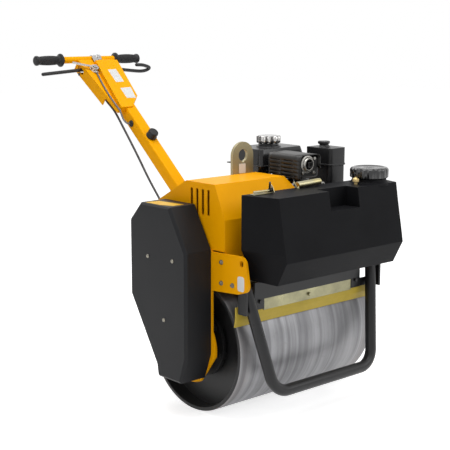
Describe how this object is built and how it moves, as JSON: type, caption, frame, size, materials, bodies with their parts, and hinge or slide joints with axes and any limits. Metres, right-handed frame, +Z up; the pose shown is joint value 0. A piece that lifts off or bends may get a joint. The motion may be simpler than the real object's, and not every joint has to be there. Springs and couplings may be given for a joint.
{
  "type": "single drum roller",
  "caption": "Walk-behind vibratory roller: smooth drum, petrol engine, belt and chain drive, water tank with scraper, guard hoop and folding handle.",
  "frame": {"origin": "on the ground, under the middle of the drum's axis", "axes": "+X along the drum's axis to the operator's left, -Y to the front (hoop and water tank), +Y to the handle, +Z up"},
  "size_m": [0.7317, 1.3235, 1.0637],
  "materials": {
    "yellow_paint": "semi-gloss powder coat, warm yellow",
    "charcoal_moulding": "fine-grained rotomoulded and injection-moulded plastic, charcoal",
    "black_paint": "satin black enamel",
    "black_plastic": "moulded black plastic",
    "rubber": "moulded black rubber",
    "zinc_plate": "yellow-passivated zinc plate",
    "drum_steel": "rolled steel polished by the ground, streaked",
    "steel": "machined steel",
    "alloy": "die-cast aluminium",
    "scraper_paint": "ochre paint over steel, satin",
    "chrome": "bright plated steel",
    "brass": "turned brass",
    "heat_black": "heat-resisting black, dulled",
    "cast_iron": "as cast, grey primer",
    "red_plastic": "moulded red plastic",
    "cord_white": "braided starter rope"
  },
  "bodies": {
    "root": {"right_side_plate": "yellow_paint", "left_side_plate": "yellow_paint", "engine_deck": "yellow_paint", "lifting_eye": "zinc_plate", "belt_hood": "yellow_paint", "drive_cover": "charcoal_moulding", "frame_bolts": "zinc_plate", "guard_hoop": "black_paint", "scraper_blade": "scraper_paint", "scraper_clamp": "zinc_plate", "scraper_brackets": "black_paint", "water_tank": "charcoal_moulding", "tank_strap": "zinc_plate", "brass_fitting": "brass", "sprinkler_pipe": "zinc_plate", "water_hose": "rubber", "crankcase": "alloy", "engine_cylinder": "alloy", "fan_shroud": "black_paint", "recoil_cover": "black_paint", "fuel_tank": "black_paint", "muffler": "heat_black", "muffler_shield": "heat_black", "air_cleaner_base": "black_plastic", "air_cleaner_lid": "black_plastic", "carburettor": "alloy", "spark_plug_cap": "black_plastic", "upper_belt": "rubber", "transmission": "alloy", "drive_chain": "steel", "exciter_belt": "rubber", "bearing_housings": "cast_iron", "control_cable": "rubber"},
    "drum": {"drum_shell": "drum_steel", "drum_hubs": "black_paint", "drum_sprocket": "steel"},
    "exciter": {"exciter_shaft": "steel"},
    "jack": {"jackshaft": "steel"},
    "pinion_shaft": {"pinion": "steel"},
    "clutch": {"clutch_pulley": "steel"},
    "crank": {"crankshaft": "steel"},
    "handle": {"handle_pole": "yellow_paint", "handle_console": "yellow_paint", "handlebar": "yellow_paint", "grips": "rubber", "handle_buffer": "rubber", "throttle_clamp": "zinc_plate", "throttle_cable": "rubber"},
    "travel": {"travel_lever": "black_paint"},
    "throttle": {"throttle_lever": "chrome"},
    "water_filler_cap": {"water_cap": "black_plastic"},
    "fuel_filler_cap": {"fuel_cap": "chrome"},
    "stand": {"parking_stand": "black_paint"},
    "starter_grip": {"recoil_grip": "black_plastic", "recoil_rope": "cord_white"},
    "latch": {"latch_lever": "black_paint"},
    "choke": {"choke_lever": "black_plastic"},
    "fuel_valve": {"fuel_valve_lever": "black_plastic"},
    "ignition": {"engine_switch": "red_plastic"},
    "water_tap": {"water_tap_lever": "red_plastic"}
  },
  "joints": [
    {"name": "drum_roll", "type": "hinge", "parent": "root", "child": "drum", "pos_m": [0, 0, 0.21], "axis": [1, 0, 0], "continuous": true},
    {"name": "pinion_spin", "type": "hinge", "parent": "root", "child": "pinion_shaft", "pos_m": [0, -0.04, 0.48], "axis": [1, 0, 0], "continuous": true},
    {"name": "exciter_spin", "type": "hinge", "parent": "root", "child": "exciter", "pos_m": [0, 0, 0.21], "axis": [1, 0, 0], "continuous": true},
    {"name": "jack_spin", "type": "hinge", "parent": "root", "child": "jack", "pos_m": [0, 0.085, 0.494], "axis": [1, 0, 0], "continuous": true},
    {"name": "clutch_spin", "type": "hinge", "parent": "root", "child": "clutch", "pos_m": [0, 0.045, 0.584], "axis": [1, 0, 0], "continuous": true},
    {"name": "crank_spin", "type": "hinge", "parent": "root", "child": "crank", "pos_m": [0, 0.045, 0.584], "axis": [1, 0, 0], "continuous": true},
    {"name": "handle_fold", "type": "hinge", "parent": "root", "child": "handle", "pos_m": [0, 0.3, 0.514], "axis": [1, 0, 0], "range_deg": [0, 65], "deforming": ["control_cable"]},
    {"name": "travel_tilt", "type": "hinge", "parent": "handle", "child": "travel", "pos_m": [0, 0.9183, 0.98813], "axis": [1, 0, 0], "range_deg": [-15, 15]},
    {"name": "throttle_turn", "type": "hinge", "parent": "handle", "child": "throttle", "pos_m": [-0.022, 0.86664, 1.01294], "axis": [0, -0.575, 0.8181], "range_deg": [0, 45]},
    {"name": "water_cap_turn", "type": "hinge", "parent": "root", "child": "water_filler_cap", "pos_m": [0.193, -0.27, 0.706], "axis": [0, 0, 1], "range_deg": [0, 180]},
    {"name": "fuel_cap_turn", "type": "hinge", "parent": "root", "child": "fuel_filler_cap", "pos_m": [0.1, 0.08, 0.78], "axis": [0, 0, 1], "range_deg": [0, 90]},
    {"name": "stand_fold", "type": "hinge", "parent": "root", "child": "stand", "pos_m": [0, 0.306, 0.44], "axis": [1, 0, 0], "range_deg": [0, 95]},
    {"name": "recoil_pull", "type": "slide", "parent": "root", "child": "starter_grip", "axis": [0, 0.3499, 0.9368], "range_m": [0, 0.5], "stiffness_N_per_m": 12, "springref_m": -0.05, "deforming": ["recoil_rope"]},
    {"name": "latch_turn", "type": "hinge", "parent": "root", "child": "latch", "pos_m": [0, -0.232, 0.7], "axis": [1, 0, 0], "range_deg": [0, 60]},
    {"name": "choke_turn", "type": "hinge", "parent": "root", "child": "choke", "pos_m": [0.19, 0, 0.649], "axis": [0, 1, 0], "range_deg": [0, 25]},
    {"name": "fuel_valve_turn", "type": "hinge", "parent": "root", "child": "fuel_valve", "pos_m": [0.19, 0, 0.626], "axis": [0, 1, 0], "range_deg": [0, 60]},
    {"name": "ignition_turn", "type": "hinge", "parent": "root", "child": "ignition", "pos_m": [0.17, 0, 0.6], "axis": [0, 1, 0], "range_deg": [0, 60]},
    {"name": "water_tap_turn", "type": "hinge", "parent": "root", "child": "water_tap", "pos_m": [0.2696, -0.17, 0.436], "axis": [0, 0, 1], "range_deg": [0, 90]}
  ],
  "couplings": [
    {"joint": "pinion_spin", "follows": "drum_roll", "ratio": 2},
    {"joint": "jack_spin", "follows": "exciter_spin", "ratio": 0.83333},
    {"joint": "clutch_spin", "follows": "exciter_spin", "ratio": 0.83333}
  ]
}
